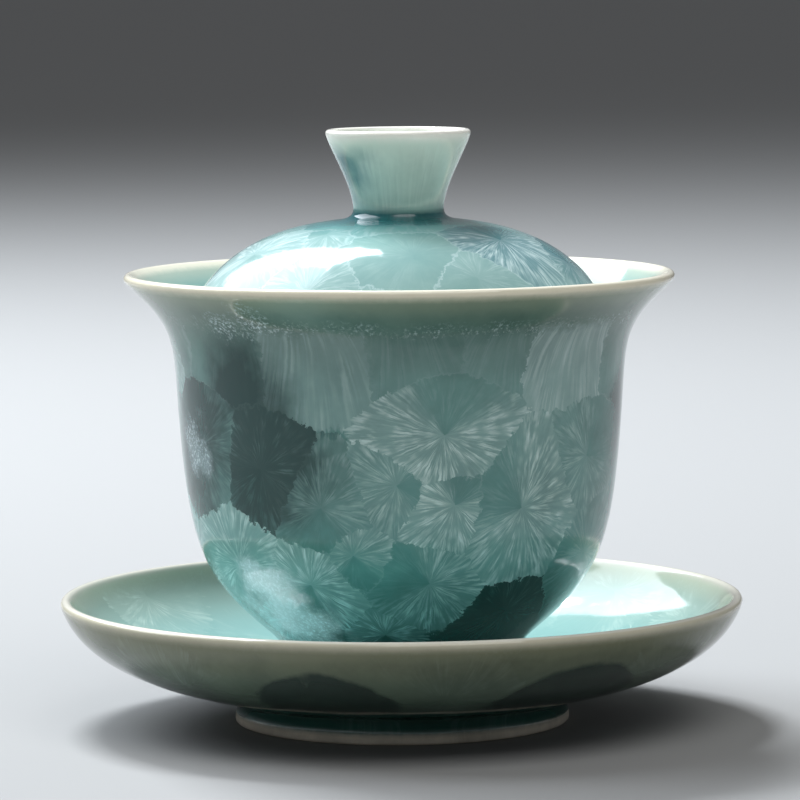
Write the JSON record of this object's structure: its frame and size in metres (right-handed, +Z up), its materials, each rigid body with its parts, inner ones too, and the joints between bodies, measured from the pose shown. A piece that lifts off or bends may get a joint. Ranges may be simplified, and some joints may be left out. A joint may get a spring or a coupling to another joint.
{
  "type": "gaiwan",
  "caption": "Lidded porcelain tea bowl with a flared lip and a trumpet-knobbed lid, standing in the well of a footed saucer.",
  "frame": {"origin": "centre of the saucer's foot ring, on the surface it stands on", "axes": "+Z up along the common axis of saucer, bowl and lid; +X and +Y are any two square directions, because each piece is round"},
  "size_m": [0.1182, 0.1182, 0.1024],
  "materials": {
    "saucer_glaze": "glossy pale celadon glaze with faint crystals, bare clay on the foot ring's flat",
    "bowl_glaze": "glossy blue-green crystalline glaze, cream where it runs thin on the lip",
    "lid_glaze": "glossy aqua crystalline glaze, darker where it pools round the knob"
  },
  "bodies": {
    "saucer": {"saucer": "saucer_glaze"},
    "bowl": {"bowl": "bowl_glaze"},
    "lid": {"lid": "lid_glaze"}
  },
  "joints": [
    {"name": "bowl_lift", "type": "slide", "parent": "saucer", "child": "bowl", "axis": [0, 0, 1], "range_m": [0, 0.045]},
    {"name": "lid_lift", "type": "slide", "parent": "bowl", "child": "lid", "axis": [0, 0, 1], "range_m": [0, 0.045]}
  ]
}
